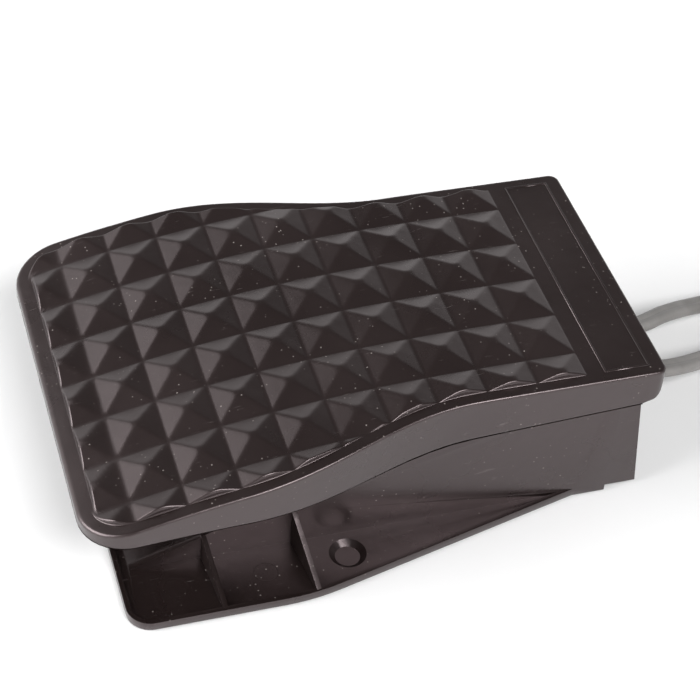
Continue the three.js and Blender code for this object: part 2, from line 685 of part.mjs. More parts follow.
place('treadle_cover', treadleCover(), SHELL);
place('travel_limiter_left', travelLimiter(), STEEL, -LIMITER.x);
place('travel_limiter_right', travelLimiter(), STEEL, LIMITER.x);
for (const [name, side] of [['left', -1], ['right', 1]]) {
  const limiterScrew = screw(2.8, 1.1, 6);
  const geometry = toGeometry(limiterScrew);
  geometry.rotateX(Math.PI);
  place(`limiter_screw_${name}`, geometry, STEEL, side * LIMITER.x, LIMITER.screwY, LIMITER.tabZ - GAP);
}
place('pusher_pad', pusherPad(), NYLON);
place('plunger', plunger(), NYLON);
place('wiper_contact', box(PLUNGER.half + GAP, PLUNGER.half + 1.6, -12, -8, 18, 20), BRASS);

place('inner_cover', innerCover(), COVER_PLASTIC);
COVER_EARS.forEach(([x, y], i) => {
  place(`cover_screw_${i + 1}`, screw(2.8, 1, 5.4), STEEL, x, y, EAR.top + GAP);
});
place('circuit_board', circuitBoard(), LAMINATE);
BOARD_SCREWS.forEach(([x, y], i) => {
  place(`board_screw_${i + 1}`, screw(2.5, 1, 4), STEEL, x, y, BOARD.bottom + BOARD.thickness + GAP);
});
const boardTop = BOARD.bottom + BOARD.thickness + GAP;
place('slide_potentiometer', potentiometer(), RESIN);
place('heat_sink', heatSink(), ALUMINIUM);
place('triac', triac(), RESIN);
place('suppressor_capacitor', box(2, 16, 4, 11, boardTop, boardTop + 9.5), FILM);
place('choke_coil', lathe([[3, 0], [7, 0], [7, 7], [3, 7], [3, 0]], 24), BRASS, 6, 22, boardTop);
place('resistor', lengthwise(-6, boardTop + 1.8, 1.6, 20, 29, 1.6, 12), FILM);
place('terminal_block', terminalBlock(), NYLON);
place('cord_clamp', cordClamp(), STEEL);
CLAMP_SCREWS.forEach(([x, y], i) => {
  place(`clamp_screw_${i + 1}`, screw(2.8, 1, 7), STEEL, x, y, CORD.exitZ + CORD.height / 2 + 1.6 + 2 * GAP);
});

const MAINS = {
  name: 'mains', exitX: -CORD.exitX, route: MAINS_ROUTE, steps: 44, coilY: COIL.mainsY,
  plugZ: PLUG_LEAD.plugZ,
};
const MACHINE = {
  name: 'machine', exitX: CORD.exitX, route: MACHINE_ROUTE, steps: 16, coilY: COIL.machineY,
  plugZ: PLUG_LEAD.connectorZ,
};
for (const { name, exitX, route, steps, coilY, plugZ } of [MAINS, MACHINE]) {
  const plugLead = [
    [COIL.joinX, coilY + PLUG_LEAD.from, plugZ + PLUG_LEAD.drop],
    [COIL.joinX, coilY + PLUG_LEAD.to, plugZ],
  ];
  place(`${name}_cord_tail`, cordTail(), CORD_GREY, exitX, 0, CORD.exitZ);
  place(`${name}_strain_relief`, strainRelief(), RUBBER, exitX, 0, CORD.exitZ);
  place(`${name}_lead`, flex(route, steps), CORD_GREY);
  place(`${name}_coil`, coilRing(), CORD_GREY, COIL.x, coilY, COIL.bottom);
  place(`${name}_coil_tie`, coilTie(), RUBBER, COIL.x, coilY, 0);
  place(`${name}_plug_lead`, flex(plugLead, 1), CORD_GREY);
}
const plugY = COIL.mainsY + PLUG_LEAD.plug;
place('mains_plug', layDown(plugBody()), RESIN, COIL.joinX, plugY, PLUG_LEAD.plugZ);
place('plug_blade_left', layDown(plugBlade(-1)), BRASS, COIL.joinX, plugY, PLUG_LEAD.plugZ);
place('plug_blade_right', layDown(plugBlade(1)), BRASS, COIL.joinX, plugY, PLUG_LEAD.plugZ);
const connectorY = COIL.machineY + PLUG_LEAD.plug;
place('machine_connector', layDown(machineConnector()), RESIN, COIL.joinX, connectorY, PLUG_LEAD.connectorZ);

export default pedal;
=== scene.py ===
# Sewing machine foot control: detailed shells, flat twin cords, procedural materials, floor,
# lights and camera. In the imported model's frame: X across, +Y towards the heel and the cords,
# +Z up, floor at z = 0. Lengths are millimetres unless a comment says metres.
import json
import math

import bmesh
import bpy
from mathutils import Matrix, Vector


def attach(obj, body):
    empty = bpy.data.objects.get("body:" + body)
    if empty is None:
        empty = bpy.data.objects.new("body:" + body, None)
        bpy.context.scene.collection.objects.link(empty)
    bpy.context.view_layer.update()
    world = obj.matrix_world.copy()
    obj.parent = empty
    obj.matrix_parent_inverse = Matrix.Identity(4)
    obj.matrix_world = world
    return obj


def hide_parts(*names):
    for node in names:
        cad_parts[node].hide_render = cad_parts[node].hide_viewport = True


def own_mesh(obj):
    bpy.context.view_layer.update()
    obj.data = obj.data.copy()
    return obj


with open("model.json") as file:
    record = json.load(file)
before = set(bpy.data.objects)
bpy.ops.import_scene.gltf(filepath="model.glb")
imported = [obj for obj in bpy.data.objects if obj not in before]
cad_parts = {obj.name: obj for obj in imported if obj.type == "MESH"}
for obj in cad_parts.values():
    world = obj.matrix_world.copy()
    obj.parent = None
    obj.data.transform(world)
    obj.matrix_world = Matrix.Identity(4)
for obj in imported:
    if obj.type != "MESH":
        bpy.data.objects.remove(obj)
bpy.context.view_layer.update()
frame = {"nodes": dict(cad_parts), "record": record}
MM = 0.001


# Dimensions in millimetres
TREADLE = dict(front=-72.6, rear=72.6, wide=51.5, narrow=39.1, taper_start=-35.2, taper_end=23.8,
               corner=12.0, heel_corner=2.6, heel=5.2, edge=0.7)
# The top is flat behind y and falls towards the toe.
CREST = dict(z=42.3, y=36.8, fall=13.9, span=109.4, power=2.34)
# The skirt's lower edge as (y, z), and how far it is averaged along y.
SKIRT_EDGE = [(-74, 25.4), (-40, 27.9), (0, 28.4), (30, 30.2), (76, 32.7)]
SKIRT_REACH = 9
# cap is the share of a pyramid's height at which its point is blunted.
TREAD = dict(pitch_x=13.96, pitch_y=12.7, height=2.0, cap=0.86, blend=0.07, border=0.5,
             rear=52.4, front=-68.6, inset=3.1, rows=11)
LABEL = dict(half=35.8, start=57.2, end=68.4, width=0.6, height=0.3, sunk=0.05)
# The folded lower lip of the skirt, and how far up its inside the detailed skin goes.
LIP = dict(half=0.76, height=0.45, inside=1.52, up=1.6)
# How near a face of the CAD treadle is to the outer surface when the detailed skin takes it over.
SKIN = dict(top=0.6, front=0.8, rear=0.3, side=0.35, corner=0.6)
CORD = dict(width=5.4, height=3.2, exit_x=8.5, exit_y=86.0, exit_z=11.4)
# The groove between the twin cores: its half width, and heights as shares of half the web.
GROOVE = dict(half=0.35, web=0.43, edge=0.98, middle=0.9)
COIL = dict(x=15.0, join=35.9, pitch=5.8, layer=4.7, low=2.9, plug_lead=(20.6, 24.4), drop=0.6)
# The part of each turn in which the cord crosses to its next place.
CROSSING = dict(start=0.72, length=0.28)
SPRING = dict(radius=5.5, wire=0.62, low=3.35, high=30.45, y=-42.0, turns=9, closed=0.9)
TRAY_EDGE = 0.48
FLOOR_HALF = 3000

# Steps of the curved surfaces
LEAD_STEP = 2.4
TURN_STEPS = 40
CORE_STEPS = 8
SPRING_STEPS, SPRING_SIDES = 36, 12
GRID_STEP = 0.5
GRID_COLUMNS = 190
HEEL_CORNER_STEPS = 6


# Camera: millimetres and degrees. Azimuth 0 looks along +Y.
CAMERA_AT = (351.8, -123.2, 377.0)
CAMERA_AZIMUTH, CAMERA_ELEVATION, CAMERA_ROLL = 70.046, 43.055, 5.060
CAMERA_LENS, CAMERA_SENSOR = 104.83, 36


def make_camera():
    az, el, roll = (math.radians(v) for v in (CAMERA_AZIMUTH, CAMERA_ELEVATION, CAMERA_ROLL))
    forward = Vector((-math.sin(az) * math.cos(el), math.cos(az) * math.cos(el), -math.sin(el)))
    level = Vector((math.cos(az), math.sin(az), 0))
    upright = level.cross(forward)
    right = math.cos(roll) * level + math.sin(roll) * upright
    up = -math.sin(roll) * level + math.cos(roll) * upright
    data = bpy.data.cameras.new("camera")
    data.lens = CAMERA_LENS
    data.sensor_width = CAMERA_SENSOR
    data.clip_start = 0.01
    camera = bpy.data.objects.new("camera", data)
    bpy.context.scene.collection.objects.link(camera)
    turn = Matrix((right, up, -forward)).transposed().to_4x4()
    camera.matrix_world = Matrix.Translation(Vector(CAMERA_AT) * MM) @ turn
    bpy.context.scene.camera = camera


make_camera()


# Mesh helpers
def new_object(name, mesh, material, smooth=True):
    piece = bpy.data.objects.new(name, mesh)
    bpy.context.scene.collection.objects.link(piece)
    mesh.materials.append(material)
    if smooth:
        for face in mesh.polygons:
            face.use_smooth = True
    return piece


def mesh_from(name, points, faces):
    """A mesh from points in millimetres."""
    mesh = bpy.data.meshes.new(name)
    mesh.from_pydata([Vector(p) * MM for p in points], [], faces)
    mesh.validate()
    return mesh


def tube_faces(rings, sides):
    """The faces of a closed tube whose points go ring by ring."""
    faces = []
    for i in range(rings - 1):
        for k in range(sides):
            a, b = i * sides + k, i * sides + (k + 1) % sides
            faces.append((a, a + sides, b + sides, b))
    faces.append(tuple(range(sides)))
    faces.append(tuple(reversed(range((rings - 1) * sides, rings * sides))))
    return faces


def smoothstep(t):
    t = min(max(t, 0.0), 1.0)
    return t * t * (3 - 2 * t)


# Cords
def spline(points, step):
    """A centripetal Catmull-Rom curve through the points, sampled about every step millimetres."""
    pts = [Vector(p) for p in points]
    pts = [2 * pts[0] - pts[1]] + pts + [2 * pts[-1] - pts[-2]]
    line = []
    for a, b, c, d in zip(pts, pts[1:], pts[2:], pts[3:]):
        t0 = 0.0
        t1 = t0 + math.sqrt((b - a).length)
        t2 = t1 + math.sqrt((c - b).length)
        t3 = t2 + math.sqrt((d - c).length)
        count = max(2, round((c - b).length / step))
        for i in range(count):
            t = t1 + (t2 - t1) * i / count
            ab = a + (b - a) * (t - t0) / (t1 - t0)
            bc = b + (c - b) * (t - t1) / (t2 - t1)
            cd = c + (d - c) * (t - t2) / (t3 - t2)
            abc = ab + (bc - ab) * (t - t0) / (t2 - t0)
            bcd = bc + (cd - bc) * (t - t1) / (t3 - t1)
            line.append(abc + (bcd - abc) * (t - t1) / (t2 - t1))
    line.append(pts[-2])
    return line


# Each lead's centre line, from its strain relief to its coil
MACHINE_ROUTE = [
    (8.5, 86.8, 11.4), (8.4, 88.9, 11.1), (8.2, 91, 10.6), (7.4, 94.5, 9.8), (6.3, 98, 8.9),
    (5, 101.5, 8.0), (3.6, 105, 7.0), (2.2, 109, 5.9), (0.5, 113.4, 4.8), (-2, 118, 3.7),
    (-3.7, 120.5, 3.2), (-5.4, 122.8, 2.8), (-7.1, 124.8, 2.5), (-8.6, 126.6, 2.3),
    (-10.6, 129.2, 2.2),
]
MAINS_ROUTE = [
    (-8.5, 86.8, 11.4), (-9.3, 90.5, 10.8), (-11, 94.2, 10.0), (-13, 98, 9.2),
    (-16, 105.5, 7.4), (-18.6, 114, 5.4), (-21.4, 123, 3.5), (-25.2, 134, 2.3),
    (-29.6, 147, 2.0), (-33.6, 161, 2.0), (-36.8, 176, 2.0), (-38.6, 190, 2.0),
    (-38.8, 202, 2.0), (-37, 213, 2.0), (-32.8, 224, 2.0), (-28.6, 231.6, 2.1),
    (-26.2, 235.8, 2.2),
]
# Where each lead runs up beside its coil, before the first turn
MACHINE_JOIN = [(-15.6, 138.2, 2.4), (-19.2, 150, 2.7)]
MAINS_JOIN = [(-23, 241.5, 2.6)]

CORDS = {
    "mains": dict(exit=-CORD["exit_x"], route=MAINS_ROUTE + MAINS_JOIN, coil_y=248.0, turns=9,
                  plug_z=9.1, far=["mains_plug", "plug_blade_left", "plug_blade_right"],
                  far_end="plug"),
    "machine": dict(exit=CORD["exit_x"], route=MACHINE_ROUTE + MACHINE_JOIN, coil_y=162.0, turns=7,
                    plug_z=6.8, far=["machine_connector"], far_end="connector"),
}
# The cell of each turn as (ring from outside, layer from below): up one column, down the next.
COIL_CELLS = {
    7: [(0, 0), (1, 0), (2, 0), (2, 1), (1, 1), (0, 1), (0, 2)],
    9: [(0, 0), (1, 0), (2, 0), (2, 1), (2, 2), (1, 2), (1, 1), (0, 1), (0, 2)],
}


def coil_line(coil_y, turns):
    """The coil's turns in its cells, clockwise seen from above, each starting at its -X side."""
    cells = COIL_CELLS[turns]
    cells = cells + cells[-1:]
    points = []
    for i in range(turns * TURN_STEPS + 1):
        turn, part = divmod(i, TURN_STEPS)
        part /= TURN_STEPS
        here = cells[turn]
        after = cells[min(turn + 1, turns)]
        move = smoothstep((part - CROSSING["start"]) / CROSSING["length"])
        ring = here[0] + (after[0] - here[0]) * move
        layer = here[1] + (after[1] - here[1]) * move
        radius = COIL["join"] - ring * COIL["pitch"]
        angle = 2 * math.pi * part
        points.append((COIL["x"] - radius * math.cos(angle), coil_y + radius * math.sin(angle),
                       COIL["low"] + layer * COIL["layer"]))
    return points


def flex_section():
    """The flat twin's section: two round cores with a shallow groove between them."""
    core = CORD["height"] / 2
    centre = CORD["width"] / 2 - core
    web = CORD["height"] * GROOVE["web"]
    half = GROOVE["half"]
    ring = []
    for side in (1, -1):
        for k in range(CORE_STEPS + 1):
            a = -side * math.pi / 2 + math.pi * k / CORE_STEPS
            ring.append((side * centre + core * math.cos(a), core * math.sin(a)))
        ring.append((side * half, side * web * GROOVE["edge"]))
        ring.append((0, side * web * GROOVE["middle"]))
        ring.append((-side * half, side * web * GROOVE["edge"]))
    return ring


def sweep_flex(name, line, material):
    section = flex_section()
    points = []
    for i, at in enumerate(line):
        ahead = line[min(i + 1, len(line) - 1)]
        behind = line[max(i - 1, 0)]
        tangent = (ahead - behind).normalized()
        across = tangent.cross(Vector((0, 0, 1))).normalized()
        up = across.cross(tangent).normalized()
        points.extend(at + across * u + up * v for u, v in section)
    mesh = mesh_from(name, points, tube_faces(len(line), len(section)))
    bm = bmesh.new()
    bm.from_mesh(mesh)
    bmesh.ops.recalc_face_normals(bm, faces=bm.faces)
    bm.to_mesh(mesh)
    bm.free()
    return new_object(name, mesh, material)


# Materials
class Nodes:
    """A small builder for one node material."""

    NOISE_ROUGHNESS = 0.55
    STRETCH_TURN = (0.3, 0.2, 0.6)
    SPECK_CORE = 0.45
    # The Mix node's colour sockets share their names with its others, so they go by number.
    COLOR_A, COLOR_B, COLOR_OUT = 6, 7, 2

    def __init__(self, name, **sockets):
        self.material = bpy.data.materials.new(name)
        self.material.use_nodes = True
        self.tree = self.material.node_tree
        self.shader = self.tree.nodes["Principled BSDF"]
        for key, value in sockets.items():
            self.shader.inputs[key.replace("_", " ")].default_value = value

    def add(self, kind, **settings):
        node = self.tree.nodes.new(kind)
        for key, value in settings.items():
            if key in node.inputs:
                node.inputs[key].default_value = value
            else:
                setattr(node, key, value)
        return node

    def link(self, a, b):
        self.tree.links.new(a, b)

    def place(self):
        """Coordinates in the object's own metres."""
        return self.add("ShaderNodeTexCoord").outputs["Object"]

    def noise(self, scale, detail, stretch=None):
        at = self.place()
        if stretch:
            mapping = self.add("ShaderNodeMapping")
            mapping.inputs["Scale"].default_value = stretch
            mapping.inputs["Rotation"].default_value = self.STRETCH_TURN
            self.link(at, mapping.inputs["Vector"])
            at = mapping.outputs["Vector"]
        node = self.add("ShaderNodeTexNoise", Scale=scale, Detail=detail,
                        Roughness=self.NOISE_ROUGHNESS)
        self.link(at, node.inputs["Vector"])
        return node.outputs["Fac"]

    def ramp(self, value, low, high, start=0.0, end=1.0):
        node = self.add("ShaderNodeMapRange")
        node.inputs["From Min"].default_value = low
        node.inputs["From Max"].default_value = high
        node.inputs["To Min"].default_value = start
        node.inputs["To Max"].default_value = end
        self.link(value, node.inputs["Value"])
        return node.outputs["Result"]

    def mix_color(self, factor, a, b):
        node = self.add("ShaderNodeMix", data_type="RGBA")
        self.link(factor, node.inputs["Factor"])
        for number, value in ((self.COLOR_A, a), (self.COLOR_B, b)):
            socket = node.inputs[number]
            if isinstance(value, tuple):
                socket.default_value = (*value, 1)
            else:
                self.link(value, socket)
        return node.outputs[self.COLOR_OUT]

    def bump(self, height, strength, distance, before=None):
        node = self.add("ShaderNodeBump", Strength=strength, Distance=distance)
        self.link(height, node.inputs["Height"])
        if before:
            self.link(before, node.inputs["Normal"])
        return node.outputs["Normal"]

    def ring(self, x, y, radius, line):
        """1 on a thin ring round the point (x, y) millimetres, on both sides of the pedal."""
        split = self.add("ShaderNodeSeparateXYZ")
        self.link(self.place(), split.inputs["Vector"])
        mirror = self.add("ShaderNodeMath", operation="ABSOLUTE")
        self.link(split.outputs["X"], mirror.inputs[0])
        flat = self.add("ShaderNodeCombineXYZ")
        self.link(mirror.outputs[0], flat.inputs["X"])
        self.link(split.outputs["Y"], flat.inputs["Y"])
        away = self.add("ShaderNodeVectorMath", operation="DISTANCE")
        self.link(flat.outputs["Vector"], away.inputs[0])
        away.inputs[1].default_value = (x * MM, y * MM, 0)
        off = self.add("ShaderNodeMath", operation="SUBTRACT")
        self.link(away.outputs["Value"], off.inputs[0])
        off.inputs[1].default_value = radius * MM
        size = self.add("ShaderNodeMath", operation="ABSOLUTE")
        self.link(off.outputs[0], size.inputs[0])
        return self.ramp(size.outputs[0], line * MM / 2, 0)

    def specks(self, scale, size):
        """Small scattered dust specks: near 1 inside a speck."""
        node = self.add("ShaderNodeTexVoronoi", Scale=scale, Randomness=1.0)
        self.link(self.place(), node.inputs["Vector"])
        return self.ramp(node.outputs["Distance"], size, size * self.SPECK_CORE)


# The plastic's small features. Each depth is in metres, as the noise scales are.
MARK = dict(radius=2.9, line=0.3, strength=0.35, depth=0.00008)
DUST = dict(scale=520, size=0.13, opacity=0.5, color=(0.36, 0.32, 0.3))
SCRATCH = dict(scale=160, stretch=(18, 1, 4), low=0.71, high=0.76, opacity=0.12, rough=0.16,
               color=(0.3, 0.27, 0.26))
GRAIN = dict(scale=2600, strength=0.10, depth=0.00012)
WAVES = dict(scale=95, strength=0.14, depth=0.0012)
CLOUD = (0.3, 0.7)


def moulded_plastic(name, base, tint, roughness, dusty=1.0, marks=()):
    """Semi-gloss moulded plastic: cloudy colour, fine grain, hairline scratches and dust."""
    m = Nodes(name, IOR=1.68, Specular_Tint=(1.0, 0.83, 0.85, 1.0), Coat_Weight=0.10,
              Coat_Roughness=0.16)
    cloud = m.noise(28, 5)
    fine = m.noise(GRAIN["scale"], 2)
    scratch = m.ramp(m.noise(SCRATCH["scale"], 2, stretch=SCRATCH["stretch"]),
                     SCRATCH["low"], SCRATCH["high"])
    dust = m.specks(DUST["scale"], DUST["size"] * dusty)
    patchy = m.ramp(m.noise(60, 2), 0.45, 0.62)
    color = m.mix_color(m.ramp(cloud, *CLOUD), base, tint)
    dust_here = m.add("ShaderNodeMath", operation="MULTIPLY")
    m.link(dust, dust_here.inputs[0])
    m.link(patchy, dust_here.inputs[1])
    color = m.mix_color(m.ramp(dust_here.outputs[0], 0, 1, 0, DUST["opacity"]), color,
                        DUST["color"])
    color = m.mix_color(m.ramp(scratch, 0, 1, 0, SCRATCH["opacity"]), color, SCRATCH["color"])
    m.link(color, m.shader.inputs["Base Color"])
    rough = m.add("ShaderNodeMath", operation="ADD")
    m.link(m.ramp(cloud, *CLOUD, roughness - 0.05, roughness + 0.06), rough.inputs[0])
    m.link(m.ramp(scratch, 0, 1, 0, SCRATCH["rough"]), rough.inputs[1])
    m.link(rough.outputs[0], m.shader.inputs["Roughness"])
    normal = m.bump(fine, GRAIN["strength"], GRAIN["depth"])
    normal = m.bump(m.noise(WAVES["scale"], 2), WAVES["strength"], WAVES["depth"], normal)
    for x, y in marks:
        ring = m.ring(x, y, MARK["radius"], MARK["line"])
        normal = m.bump(ring, MARK["strength"], MARK["depth"], normal)
    m.link(normal, m.shader.inputs["Normal"])
    return m.material


def rubber_material(name, base):
    m = Nodes(name, IOR=1.5)
    cloud = m.noise(90, 4)
    worn = tuple(c * 1.9 + 0.01 for c in base)
    m.link(m.mix_color(m.ramp(cloud, *CLOUD), base, worn), m.shader.inputs["Base Color"])
    m.link(m.ramp(cloud, *CLOUD, 0.62, 0.85), m.shader.inputs["Roughness"])
    m.link(m.bump(m.noise(1500, 3), 0.3, 0.0002), m.shader.inputs["Normal"])
    return m.material


def metal_material(name, base, roughness, stretch=(1, 24, 1)):
    m = Nodes(name, Metallic=1.0)
    brushed = m.noise(240, 4, stretch=stretch)
    dull = tuple(c * 0.72 for c in base)
    m.link(m.mix_color(m.ramp(brushed, *CLOUD), base, dull), m.shader.inputs["Base Color"])
    rough = m.ramp(brushed, *CLOUD, roughness - 0.08, roughness + 0.14)
    m.link(rough, m.shader.inputs["Roughness"])
    m.link(m.bump(brushed, 0.15, 0.0001), m.shader.inputs["Normal"])
    return m.material


def cord_material():
    """Grey PVC flex: a fine matte skin with a little grime."""
    m = Nodes("cord_pvc", IOR=1.48)
    cloud = m.noise(120, 4)
    grime = m.ramp(m.noise(55, 3), 0.52, 0.7)
    color = m.mix_color(m.ramp(cloud, *CLOUD), (0.19, 0.182, 0.175), (0.25, 0.24, 0.232))
    color = m.mix_color(m.ramp(grime, 0, 1, 0, 0.4), color, (0.08, 0.075, 0.07))
    m.link(color, m.shader.inputs["Base Color"])
    m.link(m.ramp(cloud, *CLOUD, 0.34, 0.5), m.shader.inputs["Roughness"])
    m.link(m.bump(m.noise(900, 3), 0.22, 0.0002), m.shader.inputs["Normal"])
    return m.material


SHELL = moulded_plastic("shell_plastic", (0.0085, 0.0054, 0.0050), (0.0125, 0.0082, 0.0077), 0.29)
# The marks are the faint rings that the mould's pins left on the flanges.
TRAY = moulded_plastic("tray_plastic", (0.0065, 0.0040, 0.0037), (0.0100, 0.0065, 0.0060), 0.27,
                       marks=((45.1, -50.6), (45.3, -28.3)))
COVER = moulded_plastic("cover_plastic", (0.05, 0.05, 0.054), (0.07, 0.07, 0.074), 0.5)
RESIN = moulded_plastic("black_resin", (0.020, 0.020, 0.022), (0.032, 0.032, 0.034), 0.38)
NYLON = moulded_plastic("white_nylon", (0.62, 0.58, 0.50), (0.70, 0.66, 0.58), 0.42, dusty=0.5)
FILM = moulded_plastic("dipped_film", (0.42, 0.15, 0.04), (0.5, 0.2, 0.06), 0.25)
LAMINATE = moulded_plastic("green_laminate", (0.03, 0.14, 0.05), (0.05, 0.19, 0.07), 0.4)
RUBBER = rubber_material("black_rubber", (0.018, 0.018, 0.018))
GREY_RUBBER = rubber_material("grey_rubber", (0.10, 0.10, 0.098))
PLUG = moulded_plastic("plug_pvc", (0.013, 0.013, 0.014), (0.020, 0.020, 0.021), 0.42)
STEEL = metal_material("zinc_steel", (0.62, 0.63, 0.64), 0.3)
BRASS = metal_material("brass", (0.76, 0.57, 0.27), 0.26)
COPPER = metal_material("enamelled_copper", (0.62, 0.28, 0.12), 0.3, (1, 1, 60))
ALUMINIUM = metal_material("aluminium", (0.62, 0.63, 0.64), 0.38)
CORD_PVC = cord_material()


# CAD shapes with their edges rounded. Points nearer than WELD metres are merged, and faces
# within FLAT_ANGLE degrees become one.
WELD = 2e-6
FLAT_ANGLE = 1.0


def rounded_copy(node, name, material, width, body, limit=30):
    """A copy of a CAD node's mesh with merged flats and small round edges, in place of the node."""
    source = frame["nodes"][node].data.copy()
    bm = bmesh.new()
    bm.from_mesh(source)
    bmesh.ops.remove_doubles(bm, verts=bm.verts, dist=WELD)
    bmesh.ops.dissolve_limit(bm, angle_limit=math.radians(FLAT_ANGLE), verts=bm.verts,
                             edges=bm.edges)
    bm.to_mesh(source)
    bm.free()
    source.materials.clear()
    piece = new_object(name, source, material)
    bevel = piece.modifiers.new("edges", "BEVEL")
    bevel.width = width * MM
    bevel.segments = 3
    bevel.limit_method = "ANGLE"
    bevel.angle_limit = math.radians(limit)
    bevel.use_clamp_overlap = True
    bevel.harden_normals = True
    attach(piece, body)
    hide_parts(node)
    return piece


# Plugs, ties and strain reliefs
END_FINISH = [
    ("mains_plug", PLUG, 1.6, "resin"),
    ("machine_connector", PLUG, 1.4, "resin"),
    ("mains_coil_tie", RUBBER, 0.25, "rubber"),
    ("machine_coil_tie", RUBBER, 0.25, "rubber"),
    ("mains_strain_relief", GREY_RUBBER, 0.4, "rubber"),
    ("machine_strain_relief", GREY_RUBBER, 0.4, "rubber"),
    ("plug_blade_left", BRASS, 0.5, "brass"),
    ("plug_blade_right", BRASS, 0.5, "brass"),
]


def make_end_pieces():
    """The moulded pieces on the cords, by node name."""
    made = {}
    for node, material, width, slot in END_FINISH:
        name = node + "_moulded"
        made[node] = rounded_copy(node, name, material, width, "base", limit=40)
    return made


END_PIECES = make_end_pieces()


# Make the cords
def make_cord(name, spec):
    coil = coil_line(spec["coil_y"], spec["turns"])
    start, stop = (spec["coil_y"] + d for d in COIL["plug_lead"])
    join_x = COIL["x"] - COIL["join"]
    end = [(join_x, start, spec["plug_z"] + COIL["drop"]), (join_x, stop, spec["plug_z"])]
    lead = spline(spec["route"] + coil[:3], LEAD_STEP)[:-1]
    wound = [Vector(p) for p in coil[2:-2]]
    tail = spline(coil[-2:] + end, LEAD_STEP)
    line = lead + wound + tail
    piece = sweep_flex(f"{name}_cord", line, CORD_PVC)
    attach(piece, "base")
    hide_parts(f"{name}_lead", f"{name}_coil", f"{name}_plug_lead")


for cord_name, cord_spec in CORDS.items():
    make_cord(cord_name, cord_spec)


# Treadle shell
def crest(y):
    ahead = max(CREST["y"] - y, 0) / CREST["span"]
    return CREST["z"] - CREST["fall"] * ahead ** CREST["power"]


def side_half(y):
    """Half width of the treadle's outline at y, away from its corners."""
    t = (y - TREADLE["taper_start"]) / (TREADLE["taper_end"] - TREADLE["taper_start"])
    blend = (1 + math.cos(math.pi * min(max(t, 0), 1))) / 2
    return TREADLE["narrow"] + (TREADLE["wide"] - TREADLE["narrow"]) * blend


def lerp_points(points, y):
    for (y0, z0), (y1, z1) in zip(points, points[1:]):
        if y <= y1:
            return z0 + (z1 - z0) * (y - y0) / (y1 - y0)
    return points[-1][1]


def skirt_low(y):
    """Height of the skirt's lower edge, averaged along y and rounded up at the heel."""
    spots = [y + SKIRT_REACH * share for share in (-1, -0.5, 0, 0.5, 1)]
    z = sum(lerp_points(SKIRT_EDGE, spot) for spot in spots) / len(spots)
    radius = TREADLE["heel"]
    over = y - (TREADLE["rear"] - radius)
    if over > 0:
        z += radius - math.sqrt(max(radius ** 2 - min(over, radius) ** 2, 0))
    return z


def soft_min(values, radius):
    """The least of some heights, rounded where two meet."""
    total = sum(math.exp(-v / radius) for v in values)
    return -radius * math.log(total)


def pyramid_rows():
    """(rear edge, length along Y) of each row of pyramids, even along the surface."""
    rows = []
    y = TREAD["rear"]
    for _ in range(TREAD["rows"]):
        slope = (crest(y) - crest(y - TREAD["pitch_y"])) / TREAD["pitch_y"]
        step = TREAD["pitch_y"] / math.hypot(1, slope)
        rows.append((y, step))
        y -= step
    return rows


ROWS = pyramid_rows()


def tread_height(x, y, inside):
    """Height of the tread above the plate; inside is the distance in from the field's border."""
    if inside <= 0:
        return 0.0
    for rear, step in ROWS:
        if rear - step <= y <= rear:
            v = (rear - y) / step
            break
    else:
        v = ((ROWS[-1][0] - y) / ROWS[-1][1]) % 1
    u = (x / TREAD["pitch_x"]) % 1
    top = TREAD["height"]
    across, along = 2 * u, 2 * v
    planes = [across * top, (2 - across) * top, along * top, (2 - along) * top]
    rise = soft_min(planes + [top * TREAD["cap"]], TREAD["blend"])
    edge = min(inside / TREAD["border"], 1)
    return max(rise, 0) * math.sqrt(max(1 - (1 - edge) ** 2, 0))


def field_inside(x, y, from_edge):
    return min(from_edge - TREAD["inset"], TREAD["rear"] - y, y - TREAD["front"])


# How far in from the outline the top's inner grid ends. Rings join it to the edge.
INNER = 4.6


def grid_rows():
    """Y of each row of the top's inner grid: even, closer round the front corners and where the
    tread's rear border crosses.
    """
    front = TREADLE["front"] + INNER
    rear = TREADLE["rear"] - INNER
    corner = TREADLE["corner"] - INNER
    ys = {front + corner * (1 - math.cos(math.radians(a))) for a in range(0, 91, 9)}
    y = front + corner
    while y < rear - 0.3:
        ys.add(y)
        y += GRID_STEP
    ys.update(TREAD["rear"] - d for d in (0.0, 0.04, 0.12, 0.25, 0.4))
    ys.add(rear)
    return sorted(ys)


def corner_half(y):
    """Half width of the inner grid at y, with the front corners round."""
    front = TREADLE["front"] + INNER
    corner = TREADLE["corner"] - INNER
    half = side_half(y) - INNER
    into = front + corner - y
    if into > 0:
        half += math.sqrt(max(corner ** 2 - into ** 2, 0)) - corner
    return half


def heel_corner(side, angle, from_edge):
    """A point of the rear corner's round at an angle from +X, drawn in by from_edge."""
    radius = TREADLE["heel_corner"]
    if from_edge < radius:
        reach = radius - from_edge
        inset = radius
    else:
        reach = 0.0
        inset = from_edge
    x = TREADLE["narrow"] - inset + reach * math.cos(angle)
    y = TREADLE["rear"] - inset + reach * math.sin(angle)
    return side * x, y


